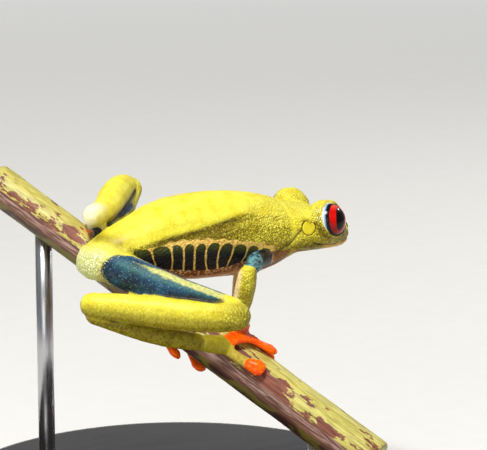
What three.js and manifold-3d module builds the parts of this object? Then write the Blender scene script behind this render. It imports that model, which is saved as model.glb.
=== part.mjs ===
// A life-size red-eyed tree frog climbing down a sloping stem, as a still museum model on a display stand.
// Millimetres, +Z up. The frog faces +X and its left side is +Y. Limbs, head and trunk are swept bodies with
// round ends. Each is cut by its neighbours, so that thin gaps part the pieces and nothing overlaps.
import * as THREE from "three";
import { mergeVertices } from "three/addons/utils/BufferGeometryUtils.js";
import Module from "manifold-3d";

const wasm = await Module();
wasm.setup();

// ---- Driving dimensions ----
const GAP = 0.3; // cut between neighbouring pieces
const CRUMB = 0.12; // details smaller than this are merged away
const PELVIS = [-18, -2.5, 54]; // the frog's hip centre, over the middle of the base
const BASE_RADIUS = 46;
const BASE_THICK = 6;
const ROD_RADIUS = 1.6;
const EYE_RADIUS = 3.4;
const EYE_OUT = 7.3; // each eye's distance from the midline
const NECK = 37; // where the head meets the trunk, ahead of the hips

const UP = new THREE.Vector3(0, 0, 1);
const vec = (p) => new THREE.Vector3(...p);

// ---- Materials ----
const paint = (color, roughness, metalness = 0) =>
  new THREE.MeshStandardMaterial({ color, roughness, metalness });
const GREEN = paint(0xb9c416, 0.5);
const FLANK = paint(0xc2c41c, 0.5);
const BLUE = paint(0x2f6f96, 0.5);
const ORANGE = paint(0xf2500f, 0.4);
const RED = paint(0xd81408, 0.15);
const STEM_GREEN = paint(0x9a9a52, 0.7);
const BLACK_LACQUER = paint(0x1c1a18, 0.35);
const STEEL = paint(0xb8b8ba, 0.3, 1);

// ---- Swept bodies ----
// A station is [x, y, z, half width, half height above, half height below]. The body runs through its
// stations with round caps at both ends. "up" gives the way that its height points, at a place on it. A
// convex body fills its bends.
const SWEEP = { rows: 8, capRows: 3, up: () => UP, square: 2, cap: 0.9, grow: 0, convex: false };
function sweep(stations, options) {
  const { sides, rows, capRows, up, square, cap, grow, convex } = { ...SWEEP, ...options };
  const line = new THREE.CatmullRomCurve3(stations.map((s) => vec(s.slice(0, 3))));
  const size = new THREE.CatmullRomCurve3(stations.map((s) => vec([s[3], s[4], s[5] ?? s[4]])));
  const heightSegments = rows + 2 * capRows;
  const body = new THREE.SphereGeometry(1, sides, heightSegments);
  const place = body.getAttribute("position");
  for (let row = 0; row <= heightSegments; row++) {
    const capTurn = (Math.PI / 2) * Math.min(1, row / capRows, (heightSegments - row) / capRows);
    const along = THREE.MathUtils.clamp((row - capRows) / rows, 0, 1);
    const shrink = Math.sin(capTurn);
    const reach = size.getPoint(along);
    const tangent = line.getTangent(along);
    const centre = line.getPoint(along);
    const overhang = cap * Math.min(reach.x, reach.y) * Math.cos(capTurn) + grow * Math.cos(capTurn);
    centre.addScaledVector(tangent, row < capRows ? -overhang : row > capRows + rows ? overhang : 0);
    const across = new THREE.Vector3().crossVectors(up(centre), tangent).normalize();
    const upward = new THREE.Vector3().crossVectors(tangent, across);
    for (let spoke = 0; spoke <= sides; spoke++) {
      const turn = (2 * Math.PI * (spoke % sides)) / sides;
      const wide = superellipse(-Math.cos(turn), square) * (reach.x + grow) * shrink;
      const high = superellipse(Math.sin(turn), square);
      const tall = high * ((high > 0 ? reach.y : reach.z) + grow) * shrink;
      const p = centre.clone().addScaledVector(across, wide).addScaledVector(upward, tall);
      place.setXYZ(row * (sides + 1) + spoke, p.x, p.y, p.z);
    }
  }
  return convex ? solid(body).hull() : solid(body);
}

function superellipse(share, power) {
  return Math.sign(share) * Math.abs(share) ** (2 / power);
}

// ---- Solids ----
function solid(geometry) {
  const bare = geometry.clone();
  bare.deleteAttribute("normal");
  bare.deleteAttribute("uv");
  const merged = mergeVertices(bare, 1e-4);
  return new wasm.Manifold(
    new wasm.Mesh({
      numProp: 3,
      vertProperties: merged.getAttribute("position").array,
      triVerts: new Uint32Array(merged.index.array),
    }),
  );
}

function ball(centre, radius, sides = 14) {
  return solid(new THREE.SphereGeometry(radius, sides, Math.round(sides * 0.7)).translate(...centre));
}

// A cylinder from one point to another.
function rod(from, to, radius, sides = 20, farRadius = radius) {
  const run = vec(to).sub(vec(from));
  const geometry = new THREE.CylinderGeometry(farRadius, radius, run.length(), sides);
  geometry.translate(0, run.length() / 2, 0);
  const axis = new THREE.Vector3(0, 1, 0);
  geometry.applyQuaternion(new THREE.Quaternion().setFromUnitVectors(axis, run.normalize()));
  return solid(geometry.translate(...from));
}

const model = new THREE.Group();
const frog = new THREE.Group();
frog.position.set(...PELVIS);
model.add(frog);

// Cuts lose a few crumbs, so the largest body is the piece.
function add(parent, name, shape, material) {
  const pieces = shape.simplify(CRUMB).decompose();
  const kept = pieces.sort((a, b) => b.volume() - a.volume())[0].getMesh();
  const geometry = new THREE.BufferGeometry();
  geometry.setAttribute("position", new THREE.BufferAttribute(new Float32Array(kept.vertProperties), 3));
  geometry.setIndex(new THREE.BufferAttribute(new Uint32Array(kept.triVerts), 1));
  const mesh = new THREE.Mesh(geometry, material);
  mesh.name = name;
  parent.add(mesh);
  return mesh;
}

const without = (shape, ...cutters) => cutters.reduce((left, cutter) => left.subtract(cutter), shape);

// ---- Stem ----
const STEM_TOP = vec([-5.2, 33.1, 8.8]);
const STEM_FOOT = vec([41.6, -30.0, -37.3]);
const STEM_RUN = STEM_FOOT.clone().sub(STEM_TOP);
const STEM_LENGTH = STEM_RUN.length();
const STEM_WAY = STEM_RUN.clone().normalize();
const STEM_UP = UP.clone().addScaledVector(STEM_WAY, -UP.dot(STEM_WAY)).normalize();
const STEM_SIDE = new THREE.Vector3().crossVectors(STEM_WAY, STEM_UP);
const stemRadius = (along) => 3.75 + 0.7 * THREE.MathUtils.smoothstep(along, 28, 52);

// A place on the stem: how far along it, how far turned from its upper line towards the frog's right, and
// how high over its bark.
function onStem(along, turn, lift) {
  const angle = THREE.MathUtils.degToRad(turn);
  return STEM_TOP.clone()
    .addScaledVector(STEM_WAY, along)
    .addScaledVector(STEM_UP, (stemRadius(along) + lift) * Math.cos(angle))
    .addScaledVector(STEM_SIDE, (stemRadius(along) + lift) * Math.sin(angle))
    .toArray();
}

// The way out from the stem's axis, at a place near it.
function outOfStem(place) {
  const out = place.clone().sub(STEM_TOP);
  return out.addScaledVector(STEM_WAY, -out.dot(STEM_WAY)).normalize();
}

function stemBody(grow = 0) {
  const stations = [0, 14, 28, 34, 40, 46, 52, 66, 80, STEM_LENGTH].map((along) => {
    const radius = stemRadius(along);
    return [...STEM_TOP.clone().addScaledVector(STEM_WAY, along).toArray(), radius, radius];
  });
  return sweep(stations, { sides: 18, rows: 9, capRows: 1, cap: 0.12, grow });
}
const stem = stemBody();
const clearOfStem = stemBody(GAP);

// ---- Trunk and head ----
const TRUNK = [
  [1.2, 0, 0.0, 4.2, 3.3, 3.8],
  [4, 0, 0.5, 5.2, 4.4, 5.0],
  [8, 0, 1.0, 6.3, 5.6, 6.2],
  [13.5, 0, 1.5, 7.4, 7.6, 7.2],
  [19.5, 0, 1.7, 8.2, 8.1, 7.9],
  [26, 0, 1.5, 8.6, 8.3, 7.8],
  [32, 0, 1.3, 8.4, 7.7, 7.8],
  [36.5, 0, 1.3, 8.4, 6.6, 6.3],
  [40, 0, 1.2, 8.3, 5.2, 4.4],
];
const HEAD = [
  [34, 0, 0.8, 7.6, 6.0, 4.6],
  [38, 0, 0.5, 8.8, 6.4, 3.55],
  [41.5, 0, 0.2, 9.2, 6.0, 2.9],
  [45, 0, 0.0, 8.5, 5.4, 2.8],
  [48.2, 0, -0.2, 6.9, 4.6, 2.85],
  [50.5, 0, -0.4, 5.2, 3.6, 2.8],
  [51.9, 0, -0.5, 3.8, 2.8, 2.6],
];
const TRUNK_FORM = { sides: 20, rows: 12, capRows: 3, square: 2.15, cap: 0.8 };
const HEAD_FORM = { sides: 20, rows: 9, capRows: 2, square: 2.35, cap: 0.42 };
const trunkBody = (grow = 0) => sweep(TRUNK, { ...TRUNK_FORM, grow });
const headBody = (grow = 0) => sweep(HEAD, { ...HEAD_FORM, grow });

// The eyes look out, a little forward and up. Each stands in a domed lid that is open round its window. The
// dome's centre lies a little inside the eye's, so that the lid is thin at the outer edge.
const EYES = [-1, 1].map((hand) => ({
  centre: [45.3, hand * EYE_OUT, 3.4],
  lid: [45.15, hand * (EYE_OUT - 0.5), 3.5],
  look: vec([0.32, hand * 0.88, 0.35]).normalize(),
  hand,
}));
const LID_RADIUS = 4.05;
const WINDOW_AT = 1.5;
const beyond = (eye, distance) => vec(eye.centre).addScaledVector(eye.look, distance).toArray();
const lidDome = (eye) =>
  ball(eye.lid, LID_RADIUS).trimByPlane(
    eye.look.clone().negate().toArray(),
    -(vec(eye.centre).dot(eye.look) + WINDOW_AT),
  );
const eyeWindow = (eye) => rod(beyond(eye, WINDOW_AT), beyond(eye, 2 * EYE_RADIUS), LID_RADIUS, 14);

let whole = trunkBody().add(headBody());
for (const eye of EYES) whole = whole.subtract(eyeWindow(eye)).add(lidDome(eye));
for (const eye of EYES) whole = whole.subtract(ball(eye.centre, EYE_RADIUS + GAP));
whole = whole.subtract(clearOfStem);

// Each eardrum is a thin disc let into the side of the head.
const EARDRUM_RADIUS = 1.4;
const EARDRUMS = EYES.map(({ hand }) => ({
  hand,
  inner: [40.4, hand * 7.4, 2.5],
  outer: [40.3, hand * 8.85, 2.8],
}));
for (const drum of EARDRUMS) {
  const run = vec(drum.outer).sub(vec(drum.inner)).normalize();
  const floor = vec(drum.inner).addScaledVector(run, -GAP).toArray();
  const mouth = vec(drum.outer).addScaledVector(run, 3).toArray();
  whole = whole.subtract(rod(floor, mouth, EARDRUM_RADIUS + GAP, 16));
}

// The mouth is one thin cut, which falls a little towards the snout.
const MOUTH_SLOPE = new THREE.Vector3(-0.16, 0, -1).normalize();
const MOUTH_AT = MOUTH_SLOPE.dot(vec([45, 0, -0.95]));
const neckCut = (keepHead) =>
  keepHead ? whole.trimByPlane([1, 0, 0], NECK + GAP / 2) : whole.trimByPlane([-1, 0, 0], -(NECK - GAP / 2));
const headPiece = neckCut(true);
const lowerJaw = headPiece.trimByPlane(MOUTH_SLOPE.toArray(), MOUTH_AT + GAP / 2);
const upperHead = headPiece.trimByPlane(MOUTH_SLOPE.clone().negate().toArray(), -(MOUTH_AT - GAP / 2));
const trunkPiece = neckCut(false);

add(frog, "trunk", trunkPiece, FLANK);
add(frog, "head", upperHead, GREEN);
add(frog, "lower_jaw", lowerJaw, FLANK);
for (const eye of EYES) add(frog, eye.hand > 0 ? "eye_left" : "eye_right", ball(eye.centre, EYE_RADIUS), RED);
for (const drum of EARDRUMS) {
  const name = drum.hand > 0 ? "eardrum_left" : "eardrum_right";
  add(frog, name, rod(drum.inner, drum.outer, EARDRUM_RADIUS, 14), GREEN);
}

const clearOfBody = trunkBody(GAP).add(headBody(GAP));

// ---- Limbs ----
// A limb piece is a sweep. It gives way to every piece placed before it, with a gap between.
const taken = [clearOfStem, clearOfBody];
function place(name, stations, options, material) {
  add(frog, name, without(sweep(stations, options), ...taken), material);
  taken.push(sweep(stations, { ...options, grow: GAP }));
}
const LEG = { sides: 12, rows: 6, capRows: 2 };
const ARM = { sides: 10, rows: 4, capRows: 2 };

const LIMBS = {
  right: {
    thigh: [
      [-1.6, -2.5, -0.1, 3.5, 3.5],
      [1.0, -5.2, -0.7, 3.5, 3.5],
      [3.6, -8.0, -2.2, 3.3, 3.4],
      [8.0, -13.0, -4.3, 2.9, 3.1],
      [12.9, -18.2, -5.9, 2.4, 2.5],
      [17.1, -22.5, -7.1, 2.0, 2.0],
    ],
    shank: [
      [17.2, -23.5, -8.2, 2.5, 2.6],
      [12.5, -20.4, -8.3, 2.9, 3.0],
      [6.5, -15.9, -7.9, 2.9, 3.1],
      [0.5, -11.4, -7.3, 2.5, 2.7],
      [-4.6, -7.7, -6.9, 2.2, 2.3],
    ],
    tarsus: [
      [-4.0, -7.7, -8.8, 1.7, 1.7],
      [0.5, -8.9, -10.8, 1.6, 1.7],
      [5.3, -9.8, -12.8, 1.6, 1.7],
      [11, -10.6, -14.6, 1.6, 1.7],
      [15.5, -10.9, -15.6, 1.6, 1.6],
    ],
    upper_arm: [
      [32.5, -5.6, -2.0, 2.4, 2.4],
      [29.5, -8.4, -2.3, 1.6, 1.7],
      [26.4, -11.0, -3.2, 1.5, 1.6],
    ],
    forearm: [
      [25.6, -11.6, -3.8, 1.8, 1.8],
      [25.2, -11.2, -7.0, 2.0, 2.0],
      [24.9, -10.0, -10.8, 1.7, 1.7],
      [24.7, -8.6, -13.6, 1.3, 1.3],
    ],
  },
  left: {
    thigh: [
      [4.2, 3.0, 0.2, 3.5, 3.6],
      [6.9, 7.7, 1.6, 3.5, 3.6],
      [10.7, 13.6, 3.3, 3.2, 3.3],
      [15.6, 20.2, 4.9, 2.8, 2.9],
      [19.8, 25.3, 6.5, 2.5, 2.5],
    ],
    shank: [
      [18.4, 24.8, 6.9, 2.6, 2.6],
      [15.0, 20.3, 7.3, 2.9, 3.0],
      [10.7, 14.5, 7.1, 2.9, 3.0],
      [6.4, 8.6, 6.4, 2.5, 2.6],
      [1.6, 3.9, 6.6, 2.1, 2.2],
    ],
    tarsus: [
      [2.3, 4.8, 5.5, 1.5, 1.5],
      [3.9, 8.8, 3.6, 1.5, 1.5],
      [5.8, 12.9, 2.7, 1.4, 1.5],
      [7.6, 16.4, 2.2, 1.4, 1.4],
    ],
    upper_arm: [
      [31.5, 5.6, -2.0, 2.4, 2.4],
      [34.0, 8.0, -4.2, 1.6, 1.7],
      [36.0, 9.4, -6.6, 1.5, 1.6],
    ],
    forearm: [
      [36.0, 9.2, -7.6, 1.8, 1.8],
      [34.8, 6.8, -9.6, 2.0, 2.0],
      [32.6, 3.8, -11.8, 1.7, 1.7],
      [30.4, 1.0, -13.6, 1.3, 1.3],
    ],
  },
};

// Soles and palms lie against the stem, between the limb and its digits. A digit ends in a broad flat disc.
const HANDS_AND_FEET = {
  right: {
    sole: [
      [15.8, -10.9, -15.7, 1.5, 1.4],
      [18.4, -10.9, -16.4, 1.7, 1.3],
      [...onStem(57.0, 52, 1.3), 2.0, 1.1],
    ],
    toes: {
      1: [[56.4, 34, 1.0], [57.2, -8, 0.9], [57.8, -50, 0.9], [58.2, -88, 0.8]],
      2: [[56.8, 36, 1.0], [58.2, -6, 0.9], [59.8, -52, 0.9], [60.8, -96, 0.8]],
      3: [[57.2, 38, 1.0], [58.8, 6, 1.0], [60.8, -28, 0.9], [62.8, -62, 0.8]],
      4: [[57.6, 40, 1.2], [59.4, 14, 1.4], [61.2, 2, 1.3], [63.4, -14, 1.2]],
      5: [[57.8, 58, 1.2, 1.2], [59.8, 58, 1.1, 1.15], [61.8, 56, 0.9, 1.1], [64.5, 49, 0.9]],
    },
    palm: [
      [24.7, -8.6, -13.9, 1.3, 1.2],
      [24.9, -7.6, -15.0, 1.6, 1.1],
      [...onStem(55.2, -14, 1.2), 1.9, 0.9],
    ],
    fingers: {
      1: [[54.2, 4, 1.7], [55.8, -8, 2.4], [56.6, -26, 2.4], [55.8, -54, 1.2]],
      2: [[55.4, -24, 1.0], [55.6, -46, 0.9], [55.4, -72, 0.8], [55.2, -98, 0.8]],
      3: [[54.8, -24, 1.0], [54.0, -50, 0.9], [53.2, -82, 0.8], [52.6, -118, 0.8]],
      4: [[54.0, -18, 1.0], [52.8, -36, 0.9], [51.8, -58, 0.8], [51.0, -82, 0.8]],
    },
  },
  left: {
    sole: [
      [7.9, 17.0, 2.1, 1.4, 1.2],
      [...onStem(22.8, -44, 1.3), 1.7, 1.1],
      [...onStem(27.0, -74, 1.2), 2.0, 1.0],
    ],
    toes: {
      1: [[27.4, -56, 1.0], [29.8, -40, 0.9], [32.0, -28, 0.8], [34.4, -18, 0.8]],
      2: [[28.4, -66, 1.0], [31.6, -58, 0.9], [35.0, -52, 0.8], [38.0, -48, 0.8]],
      3: [[29.0, -78, 1.0], [32.0, -82, 0.9], [35.4, -88, 0.8], [38.6, -94, 0.8]],
      4: [[29.0, -90, 1.0], [37.0, -108, 0.9], [46.0, -138, 0.9], [53.4, -176, 1.2]],
      5: [[28.2, -102, 1.0], [34.0, -126, 0.9], [41.5, -160, 0.9], [48.6, -200, 1.3]],
    },
    palm: [
      [30.2, 0.8, -13.8, 1.3, 1.2],
      [29.6, -0.4, -15.4, 1.6, 1.1],
      [...onStem(49.0, -62, 1.2), 1.9, 0.9],
    ],
    fingers: {
      1: [[49.2, -44, 1.0], [49.2, -22, 0.9], [48.8, 2, 0.8], [48.2, 24, 0.8]],
      2: [[48.2, -52, 1.0], [46.6, -42, 0.9], [44.8, -34, 0.8], [43.0, -28, 0.8]],
      3: [[47.8, -66, 1.0], [46.4, -76, 0.9], [45.0, -86, 0.8], [43.4, -98, 0.8]],
      4: [[48.6, -78, 1.0], [48.8, -92, 0.9], [49.0, -106, 0.8], [49.4, -122, 0.8]],
    },
  },
};
const DIGIT_RADIUS = 0.68;
const DISC_WIDTH = { toe: 1.75, finger: 1.55 };
const DISC_THICK = 0.85;

function digitStations(places, discWidth) {
  const [root, joint, neck, tip] = places.map(([along, turn, lift]) => onStem(along, turn, lift));
  return [
    [...root, places[0][3] ?? DIGIT_RADIUS * 1.15, DIGIT_RADIUS],
    [...joint, places[1][3] ?? DIGIT_RADIUS, DIGIT_RADIUS],
    [...neck, places[2][3] ?? DIGIT_RADIUS, DIGIT_RADIUS],
    [...tip, discWidth, DISC_THICK],
  ];
}

const FORWARD = () => new THREE.Vector3(1, 0, 0);
const SEGMENTS = {
  shank: [LEG, GREEN],
  thigh: [LEG, BLUE],
  tarsus: [LEG, GREEN],
  forearm: [{ ...ARM, up: FORWARD }, GREEN],
  upper_arm: [ARM, BLUE],
};
for (const [segment, [options, material]] of Object.entries(SEGMENTS))
  for (const hand of ["right", "left"]) place(`${segment}_${hand}`, LIMBS[hand][segment], options, material);

const GRIP = { ...ARM, up: outOfStem, convex: true };
for (const pad of ["sole", "palm"])
  for (const hand of ["right", "left"]) place(`${pad}_${hand}`, HANDS_AND_FEET[hand][pad], GRIP, ORANGE);

const DIGIT = { sides: 7, rows: 4, capRows: 2, cap: 1.7, up: outOfStem };
for (const hand of ["right", "left"])
  for (const kind of ["toe", "finger"])
    for (const [number, places] of Object.entries(HANDS_AND_FEET[hand][`${kind}s`]))
      place(`${kind}_${hand}_${number}`, digitStations(places, DISC_WIDTH[kind]), DIGIT, ORANGE);

// ---- Perch and stand ----
add(frog, "perch_stem", stem, STEM_GREEN);

const base = new THREE.LatheGeometry(
  [
    [0, 0],
    [BASE_RADIUS - 0.8, 0],
    [BASE_RADIUS, 0.8],
    [BASE_RADIUS, BASE_THICK - 1.2],
    [BASE_RADIUS - 1.2, BASE_THICK],
    [0, BASE_THICK],
  ].map(([x, y]) => new THREE.Vector2(x, y)),
  40,
).rotateX(Math.PI / 2);
add(model, "stand_base", solid(base), BLACK_LACQUER);

const ROD_PLACES = { stand_rod_rear: 12, stand_rod_front: 78 };
const pelvis = vec(PELVIS);
for (const [name, along] of Object.entries(ROD_PLACES)) {
  const head = STEM_TOP.clone().addScaledVector(STEM_WAY, along).add(pelvis);
  const upright = rod([head.x, head.y, BASE_THICK + 0.02], head.toArray(), ROD_RADIUS, 16);
  const room = clearOfStem.translate(PELVIS);
  add(model, name, upright.subtract(room), STEEL);
}

export default model;
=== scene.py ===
# %% [markdown]
# # A red-eyed tree frog on a sloping stem
# This lesson dresses a life-size museum model of a tree frog. The solids of the frog, its perch and its stand come
# already made and placed, as a fixed frame. What is missing is what an eye sees first: one unbroken skin with its
# markings, wet eyes, a mottled plant stem and a finished stand. Every piece below is built where the frame says it
# is, so nothing has to be fitted afterwards.

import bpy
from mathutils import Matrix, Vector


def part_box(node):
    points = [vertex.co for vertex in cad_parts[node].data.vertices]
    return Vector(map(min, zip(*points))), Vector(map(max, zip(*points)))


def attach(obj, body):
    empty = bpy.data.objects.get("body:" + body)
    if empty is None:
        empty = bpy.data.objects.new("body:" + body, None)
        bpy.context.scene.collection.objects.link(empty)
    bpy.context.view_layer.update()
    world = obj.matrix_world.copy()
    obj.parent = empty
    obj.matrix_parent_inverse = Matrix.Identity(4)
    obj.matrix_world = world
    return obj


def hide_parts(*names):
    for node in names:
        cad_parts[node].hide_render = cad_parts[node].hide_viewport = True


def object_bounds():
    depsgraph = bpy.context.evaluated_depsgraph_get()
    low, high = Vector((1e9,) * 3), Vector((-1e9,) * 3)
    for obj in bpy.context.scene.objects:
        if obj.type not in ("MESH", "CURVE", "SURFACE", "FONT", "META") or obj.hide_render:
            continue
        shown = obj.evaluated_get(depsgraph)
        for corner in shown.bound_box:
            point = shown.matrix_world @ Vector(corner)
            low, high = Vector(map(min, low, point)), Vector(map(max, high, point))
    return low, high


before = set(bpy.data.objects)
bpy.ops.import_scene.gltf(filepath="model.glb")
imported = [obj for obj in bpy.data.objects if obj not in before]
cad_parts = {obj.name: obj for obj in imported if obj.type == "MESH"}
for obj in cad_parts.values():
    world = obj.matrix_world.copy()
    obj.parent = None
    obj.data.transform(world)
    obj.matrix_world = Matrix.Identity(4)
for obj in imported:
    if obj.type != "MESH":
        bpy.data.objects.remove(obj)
solids_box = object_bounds()
print(f"{len(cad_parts)} solids, box {solids_box}")

# %% [markdown]
# ## Measures
# Blender works in metres, but a frog is easier to think about in millimetres from its hips. The frog faces +X, its
# left side is +Y and up is +Z. Each new piece is worked in those millimetres and moved to its place once, at the
# end, so the small numbers in this lesson can be read against a ruler.

# %% Measures and small helpers
import math

import bmesh
import bpy
import numpy as np
from mathutils import Matrix, Vector
from mathutils.bvhtree import BVHTree

HIPS = Vector((-18.0, -2.5, 54.0))  # from the middle of the base's underside
TO_SCENE = Matrix.Scale(0.001, 4) @ Matrix.Translation(HIPS)
TO_FROG = TO_SCENE.inverted()
BOX_MARGIN = 0.02  # how far a dressed piece stays inside the solids' box
TINY = 1e-9  # keeps a division by a length from failing at 0


def ease(value, low, high):
    """0 below low, 1 above high and a smooth step between. Low may be the larger one."""
    share = np.clip((value - low) / (high - low), 0, 1)
    return share * share * (3 - 2 * share)


def ridge(distance, width):
    """A smooth bell, 1 on the line and fading over the width."""
    return np.exp(-((distance / width) ** 2))


def least(first, second, rounding):
    """The smaller of two distances, with the corner between them rounded."""
    share = np.clip(0.5 + 0.5 * (second - first) / rounding, 0, 1)
    return second * (1 - share) + first * share - rounding * share * (1 - share)


def unit(*direction):
    return np.array(direction) / np.linalg.norm(direction)


def span(rows):
    """The length of each row, as of an arrow."""
    return np.linalg.norm(rows, axis=1)


print("hips at", tuple(HIPS), "mm")

# %% Reading and writing meshes
def numbers(collection, key, width=3, kind=np.float64):
    """One array with a mesh's positions, normals or edges."""
    values = np.empty(len(collection) * width, dtype=kind)
    collection.foreach_get(key, values)
    return values.reshape(-1, width) if width > 1 else values


def put_back(mesh, points):
    mesh.vertices.foreach_set("co", points.ravel())
    mesh.update()


def keep_fields(mesh, **fields):
    """Stores one number per field at every vertex, for the material to read."""
    for name, values in fields.items():
        layer = mesh.attributes.new(name, "FLOAT", "POINT")
        layer.data.foreach_set("value", np.asarray(values, dtype=np.float32))


def tree_of(triangles):
    """A search tree that finds the nearest of some loose triangles."""
    corners = [corner for triangle in triangles for corner in triangle]
    return BVHTree.FromPolygons(corners, [(3 * i, 3 * i + 1, 3 * i + 2) for i in range(len(triangles))])


def put_in_scene(name, data):
    """Makes an object of a mesh, a lamp or a camera and adds it to the scene."""
    thing = bpy.data.objects.new(name, data)
    bpy.context.scene.collection.objects.link(thing)
    return thing


def show(name, mesh, material, replaces):
    """Moves a finished mesh from frog millimetres to its place and shows it there."""
    mesh.transform(TO_SCENE)
    for face in mesh.polygons:
        face.use_smooth = True
    piece = put_in_scene(name, mesh)
    mesh.materials.append(material)
    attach(piece, "root")
    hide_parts(*replaces)
    print(f"{name}: {len(mesh.polygons)} faces")


def settled(shape, name, *modifiers):
    """Makes a bmesh a plain mesh, with the given modifiers already applied."""
    mesh = bpy.data.meshes.new(name)
    shape.to_mesh(mesh)
    shape.free()
    if not modifiers:
        return mesh
    helper = put_in_scene(name + "_helper", mesh)
    for kind, settings in modifiers:
        modifier = helper.modifiers.new(kind.title(), kind)
        for key, value in settings.items():
            setattr(modifier, key, value)
    graph = bpy.context.evaluated_depsgraph_get()
    result = bpy.data.meshes.new_from_object(helper.evaluated_get(graph))
    bpy.data.objects.remove(helper)
    bpy.data.meshes.remove(mesh)
    result.name = name
    return result


print("mesh helpers ready")

# %% [markdown]
# ## Mixing finishes
# A finish is a chain of small nodes: patterns such as noise and cells, steps that turn a smooth number into an edge,
# and mixes that lay one colour over another. Wiring them by hand hides the idea, so these small classes give each
# kind of node a plain word, such as plus, noise or mix. Colours are written as 0-255 values, as in a paint program,
# and changed to the linear values that the renderer adds up.

# %% A material and its arithmetic
SOCKETS = {
    "metallic": "Metallic",
    "specular": "Specular IOR Level",
    "coat": "Coat Weight",
    "coat_roughness": "Coat Roughness",
}


class Sums:
    """A material under work. Each method adds a node and gives back what comes out of it."""

    def __init__(self, name, roughness=0.5, **fixed):
        self.material = bpy.data.materials.new(name)
        self.material.use_nodes = True
        self.tree = self.material.node_tree
        self.surface = self.tree.nodes["Principled BSDF"]
        self.surface.inputs["Roughness"].default_value = roughness
        for socket, value in fixed.items():
            self.surface.inputs[SOCKETS[socket]].default_value = value
        self.place = self.tree.nodes.new("ShaderNodeTexCoord").outputs["Object"]
        self.ground = None  # the colour so far

    def feed(self, socket, value):
        if isinstance(value, bpy.types.NodeSocket):
            self.tree.links.new(value, socket)
        else:
            socket.default_value = value

    def field(self, name):
        """A number that the mesh keeps at every vertex."""
        node = self.tree.nodes.new("ShaderNodeAttribute")
        node.attribute_name = name
        return node.outputs["Fac"]

    def reckon(self, kind, first, second=0.0, third=0.0):
        node = self.tree.nodes.new("ShaderNodeMath")
        node.operation = kind
        for socket, number in zip(node.inputs, (first, second, third)):
            self.feed(socket, number)
        return node.outputs[0]

    def plus(self, first, second):
        return self.reckon("ADD", first, second)

    def minus(self, first, second):
        return self.reckon("SUBTRACT", first, second)

    def times(self, first, second):
        return self.reckon("MULTIPLY", first, second)

    def step(self, value, low, high, start=0.0, end=1.0):
        """Runs smoothly from start to end while the value goes from low to high."""
        node = self.tree.nodes.new("ShaderNodeMapRange")
        node.interpolation_type = "SMOOTHSTEP"
        limits = {"Value": value, "From Min": low, "From Max": high, "To Min": start, "To Max": end}
        for socket, number in limits.items():
            self.feed(node.inputs[socket], number)
        return node.outputs["Result"]

    def over(self, value, soft):
        """1 where a distance is above 0, with a soft edge."""
        return self.step(value, -soft, soft)

    def near(self, value, width, soft):
        """1 where a distance is within the width of 0, with a soft edge."""
        return self.step(self.reckon("ABSOLUTE", value), width + soft, width - soft)


print("arithmetic ready")

# %% Patterns
class Patterns(Sums):
    """Noise and cells, with their sizes in millimetres."""

    def stretched(self, longer, turn=(0, 0, 0)):
        """Coordinates in which a pattern is drawn out along the turned axes."""
        node = self.tree.nodes.new("ShaderNodeMapping")
        node.vector_type = "TEXTURE"
        self.feed(node.inputs["Vector"], self.place)
        node.inputs["Scale"].default_value = longer
        node.inputs["Rotation"].default_value = turn
        return node.outputs["Vector"]

    def noise(self, size_mm, detail=3.0, place=None, roughness=0.55):
        node = self.tree.nodes.new("ShaderNodeTexNoise")
        self.feed(node.inputs["Vector"], place or self.place)
        node.inputs["Scale"].default_value = 1000.0 / size_mm
        node.inputs["Detail"].default_value = detail
        node.inputs["Roughness"].default_value = roughness
        return node.outputs["Fac"]

    def cells(self, size_mm, place=None, feature="F1", output="Distance"):
        node = self.tree.nodes.new("ShaderNodeTexVoronoi")
        node.feature = feature
        self.feed(node.inputs["Vector"], place or self.place)
        node.inputs["Scale"].default_value = 1000.0 / size_mm
        return node.outputs[output]


print("patterns ready")

# %% Colours and relief
MIX_INPUTS = (0, 6, 7)  # of a Mix node's sockets, the share and the two colours
MIX_RESULT = 2


def tint(red, green, blue):
    """An sRGB colour as linear red, green, blue and alpha."""
    shares = (np.array([red, green, blue]) / 255.0 + 0.055) / 1.055
    return (*(float(share) ** 2.4 for share in shares), 1.0)


class Finish(Patterns):
    """Layers of colour, and relief too fine to model."""

    def mix(self, share, first, second):
        """Lays the second colour over the first, where the share is 1."""
        node = self.tree.nodes.new("ShaderNodeMix")
        node.data_type = "RGBA"
        for socket, value in zip(MIX_INPUTS, (share, first, second)):
            self.feed(node.inputs[socket], value)
        return node.outputs[MIX_RESULT]

    def two_tone(self, pattern, low, high, first, second):
        """Two colours told apart by a pattern: the first where it is low, the second where it is high."""
        return self.mix(self.step(pattern, low, high), tint(*first), tint(*second))

    def lay(self, share, colour):
        """Lays one more colour over the colour so far."""
        self.ground = self.mix(share, self.ground, colour)

    def bump(self, height, depth_mm, below=None):
        node = self.tree.nodes.new("ShaderNodeBump")
        node.inputs["Strength"].default_value = 1.0
        node.inputs["Distance"].default_value = depth_mm * 0.001
        self.feed(node.inputs["Height"], height)
        if below is not None:
            self.feed(node.inputs["Normal"], below)
        return node.outputs["Normal"]

    def done(self, roughness=None, normal=None):
        self.feed(self.surface.inputs["Base Color"], self.ground)
        if roughness is not None:
            self.feed(self.surface.inputs["Roughness"], roughness)
        if normal is not None:
            self.feed(self.surface.inputs["Normal"], normal)
        return self.material


print("colours and relief ready")

# %% [markdown]
# ## Room, light and camera
# The model stands on a plain pale floor, as in a museum's studio. A soft lamp high above gives the back its light and
# leaves the underside in gentle shade, a wide weak one fills from the camera's side, a small one sets a glint in the
# eye, and the pale room does the rest. The levels are kept plain, so that a colour looks about as it was mixed.
# The camera is a long lens, because a long lens keeps a small animal's limbs in proportion.

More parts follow.
